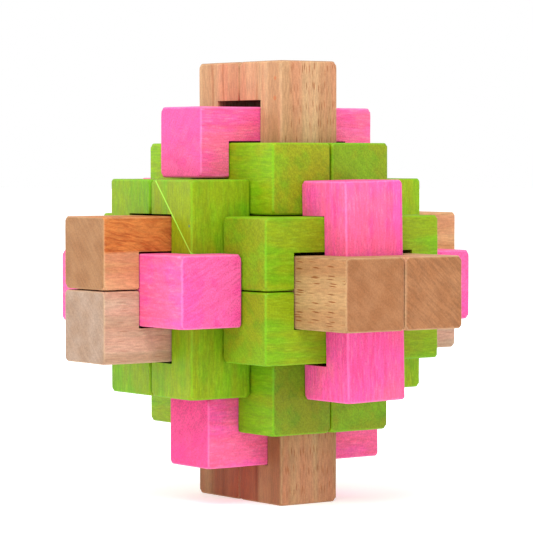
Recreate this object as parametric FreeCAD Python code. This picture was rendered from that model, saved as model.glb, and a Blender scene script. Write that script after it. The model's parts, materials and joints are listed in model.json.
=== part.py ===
import FreeCAD, Part
import os

# Burr puzzle of 24 notched square sticks: 6 long natural ones, 12 green ones and 6 pink ones.
#
# All sticks lie on one cubic grid whose step is half a stick's width. The puzzle is three families of
# 8 sticks, and each family is the same set turned by a third of a turn about the body diagonal:
#   2 long natural sticks lie side by side, and their facing notches leave one slot between them;
#   4 green sticks clasp that pair, two near each end;
#   2 pink sticks run through the slot, one near each end, and straddle the green ones.
# The families are drawn with the natural pair upright. Family 0 stays so, family 1's natural pair
# runs along X and family 2's along Y.
#
# Nine sticks are cut differently, so that the puzzle comes apart and goes together in one order only.
# The key is a plain bar. The two green sticks on it are grooved for it, and so are the upright natural
# sticks, through which it passes. Two pink sticks have a short notch, and so two more green sticks
# are grooved.
#
# The frame is +Z up, +X right, -Y front. The origin is under the middle of the whole puzzle, on the
# surface that the two upright natural sticks stand on. Sizes are in millimetres.

STICK_PITCH = 15.0  # a stick's width with the gap to its neighbour
LONG_LENGTHS = (92.4, 93.0, 92.2)  # of each family's natural pair
SLOT_HALF_LENGTHS = (38.1, 38.0, 37.6)  # a slot is a little longer than its two pink sticks need
INSET = 0.12  # every outer face stands back from the grid by this much
NOTCH_CLEARANCE = 0.28  # a notch is larger than its grid steps by this much on every side
EDGE_RADIUS = 0.5  # sanded outer edges

STEP = STICK_PITCH / 2
KEY_CHANNEL_TOP = -3 * STEP + NOTCH_CLEARANCE

# How far loose sticks stand from their place on the grid, along X, Y and Z. The upright pair stands
# on the table, and the other sticks hang on it, so most of these sag by a part of their clearance.
UPRIGHT_PAIR_RAISE = 0.75
UPRIGHT_PAIR_CLOSING = 0.07
PLAY = {
    "natural_upright_left": (UPRIGHT_PAIR_CLOSING, 0, UPRIGHT_PAIR_RAISE),
    "natural_upright_right": (-UPRIGHT_PAIR_CLOSING, 0, UPRIGHT_PAIR_RAISE),
    "natural_crosswise_front": (0, 0, -0.3),
    "natural_crosswise_back": (0, 0, -0.3),
    "green_crosswise_top_front": (0, -0.1, 0),
    "green_crosswise_top_back": (0, 0.1, 0),
    "green_crosswise_bottom_front": (0, 0, -0.1),
    "green_crosswise_bottom_back": (0, 0, -0.1),
    "pink_crosswise_back": (0, 0, -0.25),
    "pink_upright_right": (-0.2, -0.1, -0.15),
    "pink_key_bottom": (0, 0, 0.15),
}
LEANING_STICK = "pink_upright_right"
LEAN_DEGREES = 1.1  # its top leans to the front

# The key is a plain bar without a notch, a little narrower than the other sticks. Its channel lies
# off the middle, towards +X, so the right upright stick is cut deeper there than the left one.
KEY_WIDTH = 14.0
KEY_OFFSET = 3.0
KEY_CLEARANCE = 0.3

# Where each pink stick's notch starts and ends along it, in steps. The full notch straddles both
# green sticks; a short one holds one of them, and the other green stick is grooved instead.
FULL_NOTCH = (-2, 2)
SHORT_NOTCHES = {(1, -1): (-2, -1), (2, 1): (1, 2)}
KEY_PLACE = (0, -1)

LONG_NAMES = {
    (0, -1): "natural_upright_left",
    (0, 1): "natural_upright_right",
    (1, -1): "natural_crosswise_front",
    (1, 1): "natural_crosswise_back",
    (2, -1): "natural_lengthwise_lower",
    (2, 1): "natural_lengthwise_upper",
}
GREEN_NAMES = {
    (0, 1, -1): "green_crosswise_top_front",
    (0, 1, 1): "green_crosswise_top_back",
    (0, -1, -1): "green_crosswise_bottom_front",
    (0, -1, 1): "green_crosswise_bottom_back",
    (1, 1, -1): "green_lengthwise_right_lower",
    (1, 1, 1): "green_lengthwise_right_upper",
    (1, -1, -1): "green_lengthwise_left_lower",
    (1, -1, 1): "green_lengthwise_left_upper",
    (2, 1, -1): "green_upright_back_left",
    (2, 1, 1): "green_upright_back_right",
    (2, -1, -1): "green_upright_front_left",
    (2, -1, 1): "green_upright_front_right",
}
PINK_NAMES = {
    (0, 1): "pink_lengthwise_top",
    (0, -1): "pink_key_bottom",
    (1, 1): "pink_upright_right",
    (1, -1): "pink_upright_left",
    (2, 1): "pink_crosswise_back",
    (2, -1): "pink_crosswise_front",
}


def span(a, b, side=1):
    """The two ends of a stretch, in rising order, on one side of the middle."""
    return tuple(sorted((side * a, side * b)))


def grow(limits, amount):
    """A stretch in millimetres made longer at both ends."""
    return (limits[0] - amount, limits[1] + amount)


def in_mm(steps):
    return (steps[0] * STEP, steps[1] * STEP)


def block(x, y, z):
    """A box between the given limits in millimetres."""
    corner = FreeCAD.Vector(x[0], y[0], z[0])
    return Part.makeBox(x[1] - x[0], y[1] - y[0], z[1] - z[0], corner)


def sanded_bar(x, y, z):
    """A bar with all its outer edges rounded."""
    bar = block(x, y, z)
    return bar.makeFillet(EDGE_RADIUS, bar.Edges)


def stick(x, y, z):
    """A square stick that fills the given grid steps, less half the gap to its neighbours."""
    return sanded_bar(*(grow(in_mm(limits), -INSET) for limits in (x, y, z)))


def notch(x, y, z):
    """A cut over the given grid steps, and a little larger."""
    return block(*(grow(in_mm(limits), NOTCH_CLEARANCE) for limits in (x, y, z)))


def turned(shape, family):
    """A shape turned about the body diagonal from family 0 to another family: X to Y to Z to X."""
    result = shape.copy()
    result.rotate(FreeCAD.Vector(0, 0, 0), FreeCAD.Vector(1, 1, 1), 120 * family)
    return result


def moved(shape, x=0.0, y=0.0, z=0.0):
    result = shape.copy()
    result.translate(FreeCAD.Vector(x, y, z))
    return result


def leaning(shape):
    """A shape turned a little about an axis along X through its middle."""
    result = shape.copy()
    result.rotate(shape.BoundBox.Center, FreeCAD.Vector(1, 0, 0), LEAN_DEGREES)
    return result


def key_limits():
    """The key's extent along X, Y and Z."""
    half = KEY_WIDTH / 2
    return (
        (KEY_OFFSET - half, KEY_OFFSET + half),
        grow(in_mm((-3, 3)), -INSET),
        grow(in_mm((-5, -3)), -INSET),
    )


def key_channel():
    """The room that the key slides in, through the upright pair and the lowest green pair."""
    width, length, _ = key_limits()
    return block(
        grow(width, KEY_CLEARANCE),
        grow(length, STICK_PITCH),
        (-SLOT_HALF_LENGTHS[KEY_PLACE[0]], KEY_CHANNEL_TOP),
    )


def long_stick(family, side):
    """One of a natural pair, with a long notch on the face that meets its partner."""
    x = grow(in_mm(span(0, 2, side)), -INSET)
    y = grow(in_mm((-1, 1)), -INSET)
    half = LONG_LENGTHS[family] / 2
    body = sanded_bar(x, y, (-half, half))
    has_key = family == KEY_PLACE[0]
    slot_top = SLOT_HALF_LENGTHS[family]
    slot_bottom = KEY_CHANNEL_TOP if has_key else -slot_top
    slot_x = grow(in_mm(span(0, 1, side)), NOTCH_CLEARANCE)
    body = body.cut(block(slot_x, grow(y, STEP), (slot_bottom, slot_top)))
    if has_key:
        body = body.cut(key_channel())
    return body


def pink_notch(family, level):
    return SHORT_NOTCHES.get((family, level), FULL_NOTCH)


def green_stick(family, level, side):
    """One of a green pair, notched on its inner face to clasp the natural pair.

    Its outer half is grooved in the middle where the pink stick has no notch to step over it.
    """
    body = stick((-3, 3), span(0, 2, side), span(2, 4, level))
    body = body.cut(notch((-2, 2), span(0, 1, side), span(2, 4, level)))
    arm = span(1, 2, side)
    if (family, level) == KEY_PLACE:
        return body.cut(key_channel())
    start, end = pink_notch(family, level)
    if arm[0] < start or arm[1] > end:
        body = body.cut(notch((-1, 1), span(0, 2, side), span(3, 4, level)))
    return body


def pink_stick(family, level):
    """A stick that runs through the natural pair's slot, notched to straddle the green pair."""
    if (family, level) == KEY_PLACE:
        return sanded_bar(*key_limits())
    body = stick((-1, 1), (-3, 3), span(3, 5, level))
    return body.cut(notch((-1, 1), pink_notch(family, level), span(3, 4, level)))


def all_sticks():
    """Every stick by name, in its place about the middle of the grid."""
    sticks = {}
    for (family, side), name in LONG_NAMES.items():
        sticks[name] = turned(long_stick(family, side), family)
    for (family, level, side), name in GREEN_NAMES.items():
        sticks[name] = turned(green_stick(family, level, side), family)
    for (family, level), name in PINK_NAMES.items():
        sticks[name] = turned(pink_stick(family, level), family)
    sticks[LEANING_STICK] = leaning(sticks[LEANING_STICK])
    return sticks


def main():
    os.makedirs("parts", exist_ok=True)
    grid_height = LONG_LENGTHS[0] / 2 - UPRIGHT_PAIR_RAISE
    for name, shape in all_sticks().items():
        x, y, z = PLAY.get(name, (0, 0, 0))
        moved(shape, x, y, z + grid_height).exportStep("parts/" + name + ".step")


main()
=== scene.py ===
import json
import math

import bmesh
import bpy
from mathutils import Matrix, Vector, noise


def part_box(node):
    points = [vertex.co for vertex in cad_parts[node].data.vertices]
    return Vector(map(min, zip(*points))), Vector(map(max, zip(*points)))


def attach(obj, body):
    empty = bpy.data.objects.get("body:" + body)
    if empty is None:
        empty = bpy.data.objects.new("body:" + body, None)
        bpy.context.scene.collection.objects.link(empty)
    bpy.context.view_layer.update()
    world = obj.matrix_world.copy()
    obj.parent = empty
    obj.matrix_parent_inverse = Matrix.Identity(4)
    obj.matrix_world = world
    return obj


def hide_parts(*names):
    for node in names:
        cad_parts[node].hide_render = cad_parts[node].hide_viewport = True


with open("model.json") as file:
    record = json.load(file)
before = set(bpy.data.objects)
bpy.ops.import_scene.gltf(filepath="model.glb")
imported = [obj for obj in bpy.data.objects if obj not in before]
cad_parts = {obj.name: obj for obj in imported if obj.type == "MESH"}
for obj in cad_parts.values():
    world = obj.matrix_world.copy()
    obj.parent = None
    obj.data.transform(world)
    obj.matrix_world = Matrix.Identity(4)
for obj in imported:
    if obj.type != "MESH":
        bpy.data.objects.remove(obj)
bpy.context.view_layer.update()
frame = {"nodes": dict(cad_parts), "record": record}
noise.seed_set(1)  # without a seed, noise_vector gives other values on each run

MM = 0.001
RECORD = frame["record"]
BODY_OF = {node: body for body, nodes in RECORD["behaviour"]["bodies"].items() for node in nodes}


# ---------------------------------------------------------------- colours


def colour(red, green, blue):
    """Linear colour from screen values of 0 to 255."""
    def linear(value):
        value /= 255
        return value / 12.92 if value <= 0.04045 else ((value + 0.055) / 1.055) ** 2.4

    return (linear(red), linear(green), linear(blue), 1.0)


# ---------------------------------------------------------------- node helpers


class Graph:
    """Adds shader nodes to a material and joins them up."""

    def __init__(self, material):
        self.tree = material.node_tree
        self.tree.nodes.clear()

    def add(self, kind, inputs=None, **settings):
        node = self.tree.nodes.new(kind)
        for name, value in settings.items():
            setattr(node, name, value)
        for name, value in (inputs or {}).items():
            self.join(value, node.inputs[name])
        return node

    def join(self, value, socket):
        if isinstance(value, bpy.types.NodeSocket):
            self.tree.links.new(value, socket)
        else:
            socket.default_value = value

    def math(self, operation, *values):
        inputs = dict(enumerate(values))
        return self.add("ShaderNodeMath", inputs, operation=operation).outputs[0]

    def vector(self, operation, *values, output=0):
        inputs = dict(enumerate(values))
        return self.add("ShaderNodeVectorMath", inputs, operation=operation).outputs[output]

    def smooth(self, value, low, high, start=0.0, end=1.0):
        """start at low and beyond it, end at high and beyond it, and an even curve between them."""
        inputs = {"Value": value, "From Min": low, "From Max": high, "To Min": start, "To Max": end}
        return self.add("ShaderNodeMapRange", inputs, interpolation_type="SMOOTHSTEP").outputs[0]

    def mix(self, factor, first, second, blend="MIX"):
        node = self.add("ShaderNodeMix", data_type="RGBA", blend_type=blend)
        for index, value in ((0, factor), (6, first), (7, second)):
            self.join(value, node.inputs[index])
        return node.outputs[2]

    def noise(self, position, scale=1.0, detail=2.0, roughness=0.5, distortion=0.0):
        inputs = {"Vector": position, "Scale": scale, "Detail": detail,
                  "Roughness": roughness, "Distortion": distortion}
        return self.add("ShaderNodeTexNoise", inputs).outputs[0]

    def stretch(self, position, along, across, shift=(0, 0, 0)):
        """The position scaled by one factor along the stick and another across it."""
        scaled = self.vector("MULTIPLY", position, (along, across, across))
        return self.vector("ADD", scaled, shift)


# ---------------------------------------------------------------- looks
#
# Every stick has its kind's look, changed where it differs. A stick's own directions are: x along it,
# then y and z in right-handed order. Places on a stick are in millimetres from its middle.
#
# In a look, flecks holds how strong flecks are on the faces that look along y and along z, and
# fleck_cell the length and width of the cell that each fleck has to itself. ring_centre is where the
# tree's pith lies, in y and z. stain and streaks are places across the stick, in y. A speck is a
# place, a radius and a colour. fibre, grit and saw are contrasts.
# edge is the paler colour of the edges: wear, with a highlight painted along them.


BEECH = {
    "side": colour(186, 152, 113),
    "side_dark": colour(167, 124, 88),
    "blush": colour(188, 124, 94),
    "blush_amount": 0.5,
    "end": colour(160, 116, 84),
    "end_dark": colour(150, 104, 71),
    "edge": colour(204, 171, 131),
    "edge_amount": 0.22,
    "fleck": colour(136, 76, 38),
    "flecks": (0.3, 0.3),
    "fleck_cell": (4.5, 0.5),
    "ring_centre": (-38.0, 22.0),
    "ring_strength": 0.25,
    "fibre": 0.08,
    "grit": 0.06,
    "saw_angle": 0.7,
    "saw": 0.045,
    "roughness": 0.62,
}
GREEN = {
    "side": colour(113, 161, 7),
    "side_dark": colour(104, 152, 6),
    "patch": colour(141, 148, 8),
    "patch_amount": 0.6,
    "pale_amount": 0.35,
    "pale": colour(148, 183, 37),
    "end": colour(117, 156, 18),
    "end_dark": colour(101, 141, 10),
    "end_patch": colour(141, 146, 18),
    "edge": colour(104, 183, 18),
    "edge_amount": 0.33,
    "fibre": 0.07,
    "grit": 0.09,
    "saw_angle": 0.8,
    "saw": 0.04,
    "roughness": 0.55,
}
PINK = {
    "side": colour(236, 86, 160),
    "side_dark": colour(234, 74, 142),
    "patch": colour(236, 102, 130),
    "patch_amount": 0.55,
    "pale_amount": 0.22,
    "pale": colour(255, 156, 186),
    "end": colour(230, 76, 145),
    "end_dark": colour(220, 60, 130),
    "end_patch": colour(236, 98, 150),
    "edge": colour(255, 154, 209),
    "edge_amount": 0.26,
    "fibre": 0.055,
    "grit": 0.1,
    "saw_angle": -0.6,
    "saw": 0.04,
    "roughness": 0.55,
}
RUST = colour(184, 110, 68)
OWN_LOOKS = {
    "natural_upright_right": {
        "flecks": (0.75, 0.1), "fleck_cell": (3.8, 0.5), "stain": (-9.0, -0.6), "streaks": (-1.3,),
        "specks": [((42.5, 5.4, -7.4), 0.5, RUST), ((38.4, 5.3, -7.4), 0.6, RUST)],
    },
    "natural_upright_left": {
        "flecks": (0.75, 0.1), "fleck_cell": (3.8, 0.5), "stain": (-1.6, 9.0), "streaks": (-2.3, 1.7),
    },
    "natural_crosswise_front": {
        "flecks": (1.0, 1.0), "fleck_cell": (5.4, 0.52), "blush_amount": 0.2,
        "specks": [((46.3, -7.2, -7.2), 0.35, colour(70, 60, 60))],
    },
    "natural_crosswise_back": {"saw": 0.09},
    "natural_lengthwise_upper": {
        "heart": True, "ring_strength": 0.1, "flecks": (0.35, 0.2),
        "side": colour(196, 150, 106), "side_dark": colour(176, 122, 78),
    },
    "natural_lengthwise_lower": {
        "ring_strength": 0.1, "specks": [((-46.2, -7.2, 7.2), 0.35, colour(110, 80, 70))],
    },
    "green_upright_front_right": {
        "scratch": ((22.2, -5.6), (7.2, 7.4)),
        "specks": [((13.0, 6.6, -7.3), 0.3, colour(70, 110, 110))],
    },
    "pink_crosswise_front": {"saw": 0.07, "saw_angle": -0.45},
}
# Sticks of one kind differ a little in shade. A shade is a factor on each of red, green and blue.
SHADES = {
    "plain": (1.0, 1.0, 1.0),
    "pale": (1.1, 1.1, 1.1),
    "dark": (0.9, 0.9, 0.75),
    "warm": (0.95, 0.85, 0.7),
    "ashen": (1.0, 1.4, 2.0),
    "peach": (1.0, 1.15, 1.5),
    "yellow": (1.2, 1.1, 1.0),
    "fresh": (0.9, 1.0, 1.0),
    "dull": (0.8, 0.8, 1.0),
    "bright": (1.0, 1.1, 1.1),
    "salmon": (1.0, 1.2, 1.0),
    # Painted shade: darkens the ends of the bottom key, which lies low where less light falls.
    "deep_painted_shade": (0.95, 0.6, 0.8),
}
SIDE_SHADES = {
    "natural_upright_left": "pale",
    "natural_upright_right": "pale",
    "natural_crosswise_front": "dark",
    "natural_lengthwise_lower": "peach",
    "green_crosswise_top_front": "yellow",
    "green_upright_back_right": "yellow",
    "green_upright_front_left": "fresh",
    "pink_lengthwise_top": "salmon",
}
END_SHADES = {
    "natural_crosswise_front": "warm",
    "natural_crosswise_back": "warm",
    "natural_lengthwise_upper": "dark",
    "natural_lengthwise_lower": "ashen",
    "green_crosswise_top_front": "yellow",
    "green_crosswise_bottom_front": "dull",
    "green_crosswise_bottom_back": "fresh",
    "pink_crosswise_front": "bright",
    "pink_crosswise_back": "bright",
    # The bottom key's ends are darkened with painted shade.
    "pink_key_bottom": "deep_painted_shade",
}
HEARTWOOD = colour(190, 115, 55)
HEARTWOOD_LINE = colour(160, 80, 32)
STAIN = (0.94, 0.79, 0.80, 1.0)
# Painted shade: the foot of an upright is darkened, and its stain band there with it.
STAIN_DARKENED_BY_PAINTED_SHADE = (0.85, 0.52, 0.45, 1.0)
PAINTED_FOOT_SHADE = (0.57, 0.45, 0.37, 1.0)
STREAK = (0.72, 0.55, 0.42, 1.0)
SCRATCH = colour(160, 226, 70)
# Painted shade inside notches and slots, where little light reaches.
PAINTED_NOTCH_SHADE = (0.25, 0.22, 0.2, 1.0)


def look_of(node):
    """The look of one stick: its kind's look with the stick's own changes."""
    kind = BEECH if node.startswith("natural") else GREEN if node.startswith("green") else PINK
    shades = {"side_shade": SHADES[SIDE_SHADES.get(node, "plain")],
              "end_shade": SHADES[END_SHADES.get(node, "plain")]}
    return {**kind, **shades, **OWN_LOOKS.get(node, {})}


# ---------------------------------------------------------------- stick meshes


FLAT_FACE_COSINE = 0.995


def flat_direction(mesh, axis):
    """The mean normal of a stick's flat faces that look nearly along an axis."""
    total = Vector()
    for face in mesh.polygons:
        along = face.normal.dot(axis)
        if abs(along) > FLAT_FACE_COSINE:
            total += face.normal * face.area * (1 if along > 0 else -1)
    return total.normalized()


def stick_axes(node):
    """A stick's own square directions: along it, then the other two in right-handed order."""
    low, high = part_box(node)
    sizes = list(high - low)
    longest = sizes.index(max(sizes))
    mesh = frame["nodes"][node].data
    world = [Vector(row) for row in Matrix.Identity(3)]
    along, across = (flat_direction(mesh, world[(longest + step) % 3]) for step in range(2))
    third = along.cross(across).normalized()
    return Matrix((along, third.cross(along), third)).transposed()


CUTS_FROM_ENDS = (0.35, 0.8, 1.4, 2.2)  # millimetres
CUT_SPACING = 3.0
SAME_PLACE = 1e-7  # metres
SAME_PLANE = 0.004  # radians


def cut_places(half):
    """Where a stick's faces are cut across one direction: close together near its ends, then evenly."""
    near = [half - distance for distance in CUTS_FROM_ENDS]
    count = max(1, int(2 * near[-1] / CUT_SPACING))
    even = [near[-1] * (2 * step / count - 1) for step in range(1, count)]
    return near + [-place for place in near] + even


def stick_mesh(node):
    """A fine mesh of a stick in its own directions, in metres about its middle, and its place."""
    turn = stick_axes(node)
    shape = bmesh.new()
    shape.from_mesh(frame["nodes"][node].data)
    bmesh.ops.remove_doubles(shape, verts=shape.verts, dist=SAME_PLACE)
    bmesh.ops.transform(shape, matrix=turn.transposed().to_4x4(), verts=shape.verts)
    corners = [[pick(v.co[axis] for v in shape.verts) for axis in range(3)] for pick in (min, max)]
    middle = (Vector(corners[0]) + Vector(corners[1])) / 2
    half = (Vector(corners[1]) - Vector(corners[0])) / 2
    bmesh.ops.translate(shape, vec=-middle, verts=shape.verts)
    bmesh.ops.dissolve_limit(shape, angle_limit=SAME_PLANE, verts=shape.verts, edges=shape.edges)
    for axis in range(3):
        normal = Vector([1.0 if index == axis else 0.0 for index in range(3)])
        for place in cut_places(half[axis] / MM):
            everything = shape.verts[:] + shape.edges[:] + shape.faces[:]
            bmesh.ops.bisect_plane(shape, geom=everything, dist=SAME_PLACE,
                                   plane_co=normal * place * MM, plane_no=normal)
    mesh = bpy.data.meshes.new(node + "_wood")
    shape.to_mesh(mesh)
    shape.free()
    place = Matrix.Translation(turn @ middle) @ turn.to_4x4()
    return mesh, half, place


CORNER_RADIUS = 0.85
CORNER_VARIATION = 0.45  # a share of the radius
CORNER_NOISE_STEP = 3.7  # sets a stick's eight corners apart in the noise
CORNER_BLEND = 1.6  # a larger value makes the rounding full sooner
EDGE_WEAR = 0.10
EDGE_WEAR_REACH = 0.9
EDGE_WEAR_LENGTH = 2.2
FINE_WEAR_LENGTH = 0.7
FINE_WEAR_SHARE = 0.25
WARP = 0.05
WARP_LENGTH = 14.0


def handled(point, half, seed):
    """Where a point of a new stick's surface goes once its corners and edges have been handled."""
    depth = [half[axis] - abs(point[axis]) for axis in range(3)]
    out = Vector([math.copysign(1, value) for value in point])
    wobble = noise.noise_vector(point / WARP_LENGTH + seed)
    moved = point - Vector([o * abs(w) for o, w in zip(out, wobble)]) * WARP
    second, third = sorted(depth)[1:]
    corner = noise.noise(out * CORNER_NOISE_STEP + seed)
    radius = CORNER_RADIUS * (1 + CORNER_VARIATION * corner)
    inside = Vector([max(0.0, radius - value) for value in depth])
    if third < radius and inside.length > radius:
        share = min(1.0, CORNER_BLEND * (radius - third) / radius)
        share = share * share * (3 - 2 * share)
        pulled = inside * (1 - share * (1 - radius / inside.length))
        moved -= Vector([o * (a - b) for o, a, b in zip(out, inside, pulled)])
    if second < EDGE_WEAR_REACH:
        coarse = noise.noise(point / EDGE_WEAR_LENGTH + seed * 2)
        fine = noise.noise(point / FINE_WEAR_LENGTH + seed)
        wear = max(0.0, coarse + FINE_WEAR_SHARE * fine)
        share = (1 - second / EDGE_WEAR_REACH) ** 2
        for axis in range(3):
            if depth[axis] < EDGE_WEAR_REACH:
                moved[axis] -= out[axis] * EDGE_WEAR * wear * share
    return moved


SEED_STEP = Vector((7.3, 3.1, 5.7))  # sets the sticks apart in the noise
SHARP_DEGREES = 35


def make_stick(node, number):
    """One wooden stick in place of its CAD node; also half its size in millimetres."""
    mesh, half, place = stick_mesh(node)
    seed = SEED_STEP * (number + 1)
    half_mm = half / MM
    for vertex in mesh.vertices:
        vertex.co = handled(vertex.co / MM, half_mm, seed) * MM
    mesh.shade_smooth()
    mesh.set_sharp_from_angle(angle=math.radians(SHARP_DEGREES))
    stick = bpy.data.objects.new(node + "_wood", mesh)
    bpy.context.scene.collection.objects.link(stick)
    stick.matrix_world = place
    smoothing = stick.modifiers.new("flat_faces", "WEIGHTED_NORMAL")
    smoothing.keep_sharp = True
    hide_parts(node)
    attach(stick, BODY_OF[node])
    return stick, half_mm


# ---------------------------------------------------------------- wood materials


RING_SPACING = 3.4  # millimetres
# How strong the painted shade inside notches and slots is.
PAINTED_NOTCH_SHADE_AMOUNT = 0.55
SPECULAR = 0.2


class Wood:
    """A stick's material while it is made: its nodes, its look and the facts its layers share.

    end is 1 on the end grain. from_edge is how far a place on an outer face is from the stick's
    nearest outer edge, in millimetres. notch_shade_mask, 0 on outer faces and 1 inside a notch, places
    painted shade.
    """

    def __init__(self, name, look, half, number):
        self.material = bpy.data.materials.new(name)
        self.material.use_nodes = True
        self.graph = Graph(self.material)
        self.look = look
        graph = self.graph
        coordinates = graph.add("ShaderNodeTexCoord")
        scale = graph.add("ShaderNodeVectorMath", {0: coordinates.outputs["Object"], "Scale": 1 / MM},
                          operation="SCALE")
        self.position = scale.outputs[0]
        self.x, self.y, self.z = graph.add("ShaderNodeSeparateXYZ", {0: self.position}).outputs
        normal = graph.vector("ABSOLUTE", coordinates.outputs["Normal"])
        self.normal = graph.add("ShaderNodeSeparateXYZ", {0: normal}).outputs
        self.end = graph.smooth(self.normal[0], 0.55, 0.85)
        self.shift = (137.0 * number % 900, 91.0 * number % 700, 53.0 * number % 800)
        self.grain = graph.vector("ADD", self.position, self.shift)
        depth = graph.vector("SUBTRACT", tuple(half), graph.vector("ABSOLUTE", self.position))
        a, b, c = graph.add("ShaderNodeSeparateXYZ", {0: depth}).outputs
        low, high = graph.math("MINIMUM", a, b), graph.math("MAXIMUM", a, b)
        self.from_edge = graph.math("MAXIMUM", low, graph.math("MINIMUM", high, c))
        self.fibre = graph.noise(graph.stretch(self.grain, 0.45, 2.8), detail=3.0, roughness=0.6)
        self.speckle = graph.noise(self.grain, scale=2.8, detail=2.0, roughness=0.6)
        nearest = graph.math("MINIMUM", low, c)
        # Where painted shade falls: on the faces inside notches and slots.
        self.notch_shade_mask = graph.smooth(nearest, 0.35, 0.8)

    def shade(self, base, pattern, contrast):
        """The base made lighter and darker by a noise pattern, with the given contrast."""
        graph = self.graph
        level = graph.smooth(pattern, 0.34, 0.66, 1 - contrast * 1.5, 1 + contrast * 1.5)
        grey = graph.add("ShaderNodeCombineColor", {0: level, 1: level, 2: level}).outputs[0]
        return graph.mix(1.0, base, grey, blend="MULTIPLY")

    def rings(self):
        """The darker late wood of each growth ring, as a slice through the tree shows it."""
        graph = self.graph
        flat = graph.vector("MULTIPLY", self.position, (0.03, 1, 1))
        from_pith = graph.vector("SUBTRACT", flat, (0, *self.look["ring_centre"]))
        bend = graph.noise(graph.stretch(self.grain, 0.02, 0.09), detail=1.0)
        distance = graph.math("ADD", graph.vector("LENGTH", from_pith, output=1),
                              graph.math("MULTIPLY", bend, 3.0))
        ring = graph.math("FRACT", graph.math("DIVIDE", distance, RING_SPACING))
        return graph.math("MULTIPLY", graph.smooth(ring, 0.55, 1.0), self.look["ring_strength"])

    def flecks(self):
        """Short dark lens shapes along the grain, as the rays of beech show on a flat-sawn face."""
        graph = self.graph
        length, width = self.look["fleck_cell"]
        on_y, on_z = self.look["flecks"]
        across = graph.math("ADD", graph.math("MULTIPLY", self.normal[1], self.z),
                            graph.math("MULTIPLY", self.normal[2], self.y))
        wave = graph.noise(graph.stretch(self.grain, 0.07, 0.4), detail=1.0)
        across = graph.math("ADD", across, graph.math("MULTIPLY", wave, 1.2))
        across = graph.math("ADD", across, graph.math("MULTIPLY", self.x, 0.03))
        flat = graph.add("ShaderNodeCombineXYZ", {
            0: graph.math("DIVIDE", self.x, length), 1: graph.math("DIVIDE", across, width)})
        place = graph.vector("ADD", flat.outputs[0], self.shift)
        cells = graph.add("ShaderNodeTexVoronoi", {"Vector": place, "Scale": 1.0, "Randomness": 0.9},
                          voronoi_dimensions="2D")
        chance = graph.add("ShaderNodeSeparateColor", {0: cells.outputs["Color"]}).outputs[0]
        shape = graph.smooth(cells.outputs["Distance"], 0.12, 0.3, 1.0, 0.0)
        strength = graph.math("MULTIPLY", shape, graph.smooth(chance, 0.25, 0.85))
        weight = graph.math("ADD", graph.math("MULTIPLY", self.normal[1], on_y),
                            graph.math("MULTIPLY", self.normal[2], on_z))
        return graph.math("MULTIPLY", strength, weight)

    def heartwood(self, side):
        """One half of the side in darker heartwood with a flowing figure."""
        graph = self.graph
        bend = graph.noise(graph.stretch(self.grain, 0.05, 0.2), detail=2.0)
        border = graph.math("ADD", self.y, graph.math("MULTIPLY", bend, 2.0))
        half = graph.math("MULTIPLY", graph.smooth(border, 0.6, 1.6), graph.smooth(self.z, -4.0, 3.0))
        half = graph.math("MULTIPLY", half, graph.smooth(self.x, -10.0, 12.0, 1.0, 0.0))
        sway = graph.noise(graph.stretch(self.grain, 0.06, 0.12, (3, 41, 9)), detail=2.0)
        tilted = graph.math("ADD", graph.math("ADD", self.y, graph.math("MULTIPLY", self.x, 0.22)),
                            graph.math("MULTIPLY", sway, 9.0))
        flow = graph.add("ShaderNodeCombineXYZ", {0: graph.math("MULTIPLY", self.x, 0.16),
                                                  1: tilted, 2: graph.math("MULTIPLY", self.z, 0.5)})
        figure = graph.noise(flow.outputs[0], scale=1.2, detail=5.0, roughness=0.7, distortion=0.2)
        heart = graph.mix(graph.smooth(figure, 0.4, 0.66), HEARTWOOD, HEARTWOOD_LINE)
        return graph.mix(half, side, heart)

    def stain(self, side):
        """A rose-tinted band and dark streaks along the faces that look along z, and painted shade that
        darkens the foot.
        """
        graph = self.graph
        facing_z = graph.smooth(self.normal[2], 0.4, 0.8)
        # Painted shade: the foot is darkened, most on the faces that look along z.
        painted_foot_shade_mask = graph.smooth(self.x, -10.0, -34.0)
        start, end = self.look["stain"]
        wobble = graph.noise(graph.stretch(self.grain, 0.06, 0.3, (11, 2, 29)), detail=3.0)
        across = graph.math("ADD", self.y, graph.math("MULTIPLY_ADD", wobble, 2.4, -1.2))
        band = graph.math("MULTIPLY", graph.smooth(across, start - 1.2, start + 1.2),
                          graph.smooth(across, end - 0.9, end + 0.9, 1.0, 0.0))
        stain_with_painted_foot_shade = graph.mix(painted_foot_shade_mask, STAIN, STAIN_DARKENED_BY_PAINTED_SHADE)
        side = graph.mix(graph.math("MULTIPLY", band, facing_z), side, stain_with_painted_foot_shade, blend="MULTIPLY")
        for place in self.look["streaks"]:
            aside = graph.math("ABSOLUTE", graph.math("SUBTRACT", across, place))
            broken = graph.smooth(graph.noise(graph.stretch(self.grain, 0.12, 0.9)), 0.3, 0.6, 0.2, 0.8)
            line = graph.math("MULTIPLY", graph.smooth(aside, 0.05, 0.6, 1.0, 0.0), broken)
            side = graph.mix(graph.math("MULTIPLY", line, facing_z), side, STREAK, blend="MULTIPLY")
        # Painted shade darkens the foot, less on faces that do not look along z.
        painted_foot_shade_amount = graph.math("MULTIPLY", painted_foot_shade_mask, graph.smooth(facing_z, 0.0, 1.0, 0.4, 1.0))
        return graph.mix(painted_foot_shade_amount, side, PAINTED_FOOT_SHADE, blend="MULTIPLY")

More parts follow.
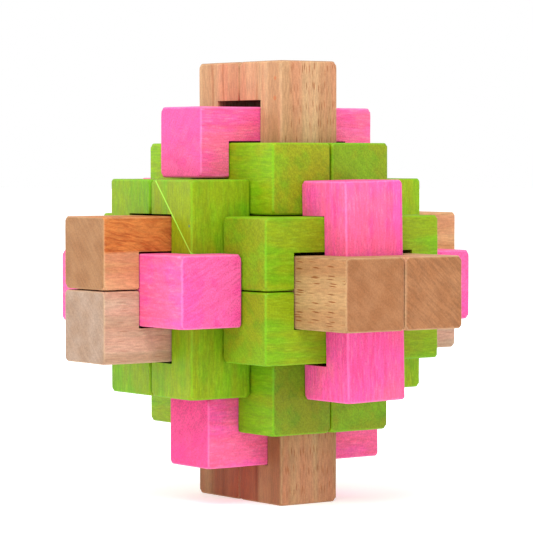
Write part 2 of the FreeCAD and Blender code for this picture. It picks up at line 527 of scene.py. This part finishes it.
    def scratch(self, base):
        """A straight pale scratch on the faces that look along z."""
        graph = self.graph
        (x0, y0), (x1, y1) = self.look["scratch"]
        length = math.hypot(x1 - x0, y1 - y0)
        along = ((x1 - x0) / length, (y1 - y0) / length)
        dx, dy = graph.math("SUBTRACT", self.x, x0), graph.math("SUBTRACT", self.y, y0)
        travel = graph.math("ADD", graph.math("MULTIPLY", dx, along[0]),
                            graph.math("MULTIPLY", dy, along[1]))
        aside = graph.math("SUBTRACT", graph.math("MULTIPLY", dx, along[1]),
                           graph.math("MULTIPLY", dy, along[0]))
        line = graph.smooth(graph.math("ABSOLUTE", aside), 0.08, 0.24, 1.0, 0.0)
        started = graph.smooth(travel, -0.2, 0.4)
        ended = graph.smooth(travel, length - 0.4, length + 0.2, 1.0, 0.0)
        there = graph.math("MULTIPLY", graph.math("MULTIPLY", line, started), ended)
        there = graph.math("MULTIPLY", there, graph.smooth(self.z, -6.0, -7.0))
        return graph.mix(there, base, SCRATCH)

    def specks(self, base):
        """Small spots of another colour at given places."""
        graph = self.graph
        for place, radius, spot in self.look.get("specks", ()):
            distance = graph.vector("DISTANCE", self.position, place, output=1)
            base = graph.mix(graph.smooth(distance, radius * 0.4, radius * 1.2, 0.9, 0.0), base, spot)
        return base

    def saw_marks(self):
        """Fine parallel marks across the end grain, from 0 to 1."""
        graph = self.graph
        inputs = {"Vector": self.grain, "Angle": self.look["saw_angle"]}
        turned = graph.add("ShaderNodeVectorRotate", inputs, rotation_type="X_AXIS").outputs[0]
        return graph.noise(graph.vector("MULTIPLY", turned, (0.2, 0.2, 1.7)), detail=2.0, roughness=0.6)

    def edge(self):
        """1 on the outer edges, broken up, and 0 on the flats, where wear makes them paler and a
        highlight is painted along them.
        """
        graph = self.graph
        rough = graph.noise(self.grain, scale=1.3, detail=3.0, roughness=0.7)
        moved = graph.math("SUBTRACT", self.from_edge, graph.math("MULTIPLY", rough, 0.5))
        # Paler edges from wear, with a painted highlight along them.
        wear_and_highlight = graph.smooth(moved, -0.1, 0.25, 1.0, 0.0)
        return graph.math("MULTIPLY", wear_and_highlight, self.look["edge_amount"])

    def in_shade(self, base, shade):
        """The base times a shade's factors."""
        return self.graph.mix(1.0, base, (*shade, 1.0), blend="MULTIPLY")

    def finish(self, side, end_colour, side_height, end_height):
        """Joins the side and the end, pales the edges for wear and a painted highlight, paints shade in
        the notches, and makes the surface.
        """
        graph, look = self.graph, self.look
        side = self.in_shade(self.shade(side, self.fibre, look["fibre"]), look["side_shade"])
        side = self.shade(side, self.speckle, look["grit"] * 0.6)
        end_colour = self.shade(end_colour, self.speckle, look["grit"])
        end_colour = self.shade(end_colour, self.saw_marks(), look["saw"])
        end_colour = self.in_shade(end_colour, look["end_shade"])
        base = graph.mix(self.end, side, end_colour)
        if "scratch" in look:
            base = self.scratch(base)
        # The edges are made paler for wear, and a highlight is painted along them.
        base = graph.mix(self.edge(), base, look["edge"])
        base = self.specks(base)
        # Painted shade: the wood is darkened inside notches and slots.
        painted_notch_shade = graph.math("MULTIPLY", self.notch_shade_mask, PAINTED_NOTCH_SHADE_AMOUNT)
        base = graph.mix(painted_notch_shade, base, PAINTED_NOTCH_SHADE, blend="MULTIPLY")
        height = graph.add("ShaderNodeMix", {0: self.end, 2: side_height, 3: end_height}).outputs[0]
        bump = graph.add("ShaderNodeBump", {"Height": height, "Strength": 1.0, "Distance": MM})
        spread = graph.smooth(self.fibre, 0.3, 0.7, look["roughness"] - 0.06, look["roughness"] + 0.08)
        shader = graph.add("ShaderNodeBsdfPrincipled", {
            "Base Color": base, "Roughness": spread, "Normal": bump.outputs[0]})
        shader.inputs["Specular IOR Level"].default_value = SPECULAR
        output = graph.add("ShaderNodeOutputMaterial")
        graph.join(shader.outputs[0], output.inputs[0])
        return self.material


def natural_wood(name, look, half, number):
    """Bare beech: soft bands, growth rings, rosy streaks and dark flecks."""
    wood = Wood(name, look, half, number)
    graph = wood.graph
    tone = graph.noise(graph.stretch(wood.grain, 0.012, 0.22), detail=3.0)
    side = graph.mix(graph.smooth(tone, 0.35, 0.65), look["side"], look["side_dark"])
    blush = graph.noise(graph.stretch(wood.grain, 0.018, 0.3, (31, 7, 3)), detail=2.0)
    blush = graph.math("MULTIPLY", graph.smooth(blush, 0.42, 0.62), look["blush_amount"])
    side = graph.mix(blush, side, look["blush"])
    ring = wood.rings()
    side = graph.mix(ring, side, look["side_dark"])
    if "stain" in look:
        side = wood.stain(side)
    if look.get("heart"):
        side = wood.heartwood(side)
    fleck = wood.flecks()
    side = graph.mix(fleck, side, look["fleck"])
    cloud = graph.noise(wood.grain, scale=0.25, detail=3.0)
    end = graph.mix(graph.smooth(cloud, 0.3, 0.7), look["end"], look["end_dark"])
    end = graph.mix(ring, end, look["end_dark"])
    side_height = graph.math("SUBTRACT", graph.math("MULTIPLY", wood.fibre, 0.05),
                             graph.math("MULTIPLY", fleck, 0.03))
    end_height = graph.math("MULTIPLY", wood.speckle, 0.08)
    return wood.finish(side, end, side_height, end_height)


def dyed_wood(name, look, half, number):
    """Dyed wood: the dye takes in clouds and bands, and paler fibres show along the grain."""
    wood = Wood(name, look, half, number)
    graph = wood.graph
    bands = graph.noise(graph.stretch(wood.grain, 0.04, 0.35), detail=3.0)
    cloud = graph.noise(wood.grain, scale=0.09, detail=3.0, roughness=0.55)
    patch = graph.math("ADD", graph.math("MULTIPLY", bands, 0.4), graph.math("MULTIPLY", cloud, 0.6))
    patch = graph.math("MULTIPLY", graph.smooth(patch, 0.42, 0.58), look["patch_amount"])
    thick = graph.noise(graph.stretch(wood.grain, 0.09, 0.9, (17, 3, 9)), detail=3.0, roughness=0.6)
    side = graph.mix(graph.smooth(thick, 0.4, 0.65), look["side"], look["side_dark"])
    side = graph.mix(patch, side, look["patch"])
    fine = graph.noise(graph.stretch(wood.grain, 0.4, 2.0, (5, 23, 11)), detail=3.0, roughness=0.65)
    side = graph.mix(graph.smooth(fine, 0.5, 0.7, 0.0, look["pale_amount"]), side, look["pale"])
    end = graph.mix(graph.smooth(cloud, 0.4, 0.6), look["end"], look["end_dark"])
    end = graph.mix(patch, end, look["end_patch"])
    side_height = graph.math("MULTIPLY", wood.fibre, 0.05)
    end_height = graph.math("MULTIPLY", wood.speckle, 0.08)
    return wood.finish(side, end, side_height, end_height)


# ---------------------------------------------------------------- the puzzle


def make_puzzle():
    for number, node in enumerate(sorted(frame["nodes"])):
        stick, half = make_stick(node, number)
        paint = natural_wood if node.startswith("natural") else dyed_wood
        stick.data.materials.clear()
        stick.data.materials.append(paint(node + "_wood", look_of(node), half, number))


# ---------------------------------------------------------------- studio


FLOOR_RADIUS = 6.0
FLOOR_GREY = (0.86, 0.86, 0.86, 1)
FLOOR_OWN_LIGHT = 0.4
WHITE = (1, 1, 1, 1)
KEY_LIGHT = {"place": (0.5, -0.5, 0.9), "size": 0.7, "power": 9.0}
FILL_LIGHT = {"place": (-0.9, -0.6, 0.35), "size": 0.8, "power": 3.5}


def paper():
    """White paper with a faint light of its own, so that shadows on it stay pale."""
    material = bpy.data.materials.new("floor_paper")
    material.use_nodes = True
    shader = material.node_tree.nodes["Principled BSDF"]
    shader.inputs["Base Color"].default_value = FLOOR_GREY
    shader.inputs["Roughness"].default_value = 0.9
    shader.inputs["Emission Color"].default_value = WHITE
    shader.inputs["Emission Strength"].default_value = FLOOR_OWN_LIGHT
    return material


def make_floor():
    floor_mesh = bpy.data.meshes.new("floor")
    shape = bmesh.new()
    bmesh.ops.create_circle(shape, cap_ends=True, segments=96, radius=FLOOR_RADIUS)
    shape.to_mesh(floor_mesh)
    shape.free()
    floor = bpy.data.objects.new("floor", floor_mesh)
    bpy.context.scene.collection.objects.link(floor)
    floor.data.materials.append(paper())


def area_light(name, target, place, size, power):
    """A round lamp at a place measured from its target, and turned to it."""
    lamp = bpy.data.lights.new(name, "AREA")
    lamp.shape = "DISK"
    lamp.size = size
    lamp.energy = power
    holder = bpy.data.objects.new(name, lamp)
    bpy.context.scene.collection.objects.link(holder)
    holder.location = target + Vector(place)
    holder.rotation_euler = (target - holder.location).to_track_quat("-Z", "Y").to_euler()


def make_lights(centre):
    world = bpy.data.worlds.new("studio")
    bpy.context.scene.world = world
    world.use_nodes = True
    world.node_tree.nodes["Background"].inputs[0].default_value = WHITE
    world.node_tree.nodes["Background"].inputs[1].default_value = 1.0
    area_light("key_light", centre, **KEY_LIGHT)
    area_light("fill_light", centre, **FILL_LIGHT)


VIEW_AZIMUTH = math.radians(53.69)
VIEW_ELEVATION = math.radians(2.6)
VIEW_DISTANCE = 0.586
FOCAL_LENGTH_MM = 186.2
AIM_ABOVE_MIDDLE = 0.0037
AIM_LEFT_OF_MIDDLE = 0.00013


def make_camera(centre):
    """Right of front, a little above, through a long lens."""
    camera = bpy.data.objects.new("camera", bpy.data.cameras.new("camera"))
    bpy.context.scene.collection.objects.link(camera)
    bpy.context.scene.camera = camera
    flat = math.cos(VIEW_ELEVATION)
    back = Vector((math.sin(VIEW_AZIMUTH) * flat, -math.cos(VIEW_AZIMUTH) * flat,
                   math.sin(VIEW_ELEVATION)))
    camera.location = centre + back * VIEW_DISTANCE
    right = Vector((math.cos(VIEW_AZIMUTH), math.sin(VIEW_AZIMUTH), 0))
    aim = centre + Vector((0, 0, AIM_ABOVE_MIDDLE)) - right * AIM_LEFT_OF_MIDDLE
    camera.rotation_euler = (aim - camera.location).to_track_quat("-Z", "Y").to_euler()
    camera.data.lens = FOCAL_LENGTH_MM
    camera.data.sensor_width = 36.0
    camera.data.clip_start = 0.05
    camera.data.clip_end = 50.0


def grid_middle():
    """The middle of the puzzle's grid, which the sticks without play are in line with."""
    level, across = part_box("green_upright_front_left"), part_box("natural_upright_right")
    return Vector((0, (across[0].y + across[1].y) / 2, (level[0].z + level[1].z) / 2))


def make_studio():
    centre = grid_middle()
    make_floor()
    make_lights(centre)
    make_camera(centre)
    bpy.context.scene.view_settings.view_transform = "Standard"


make_puzzle()
make_studio()
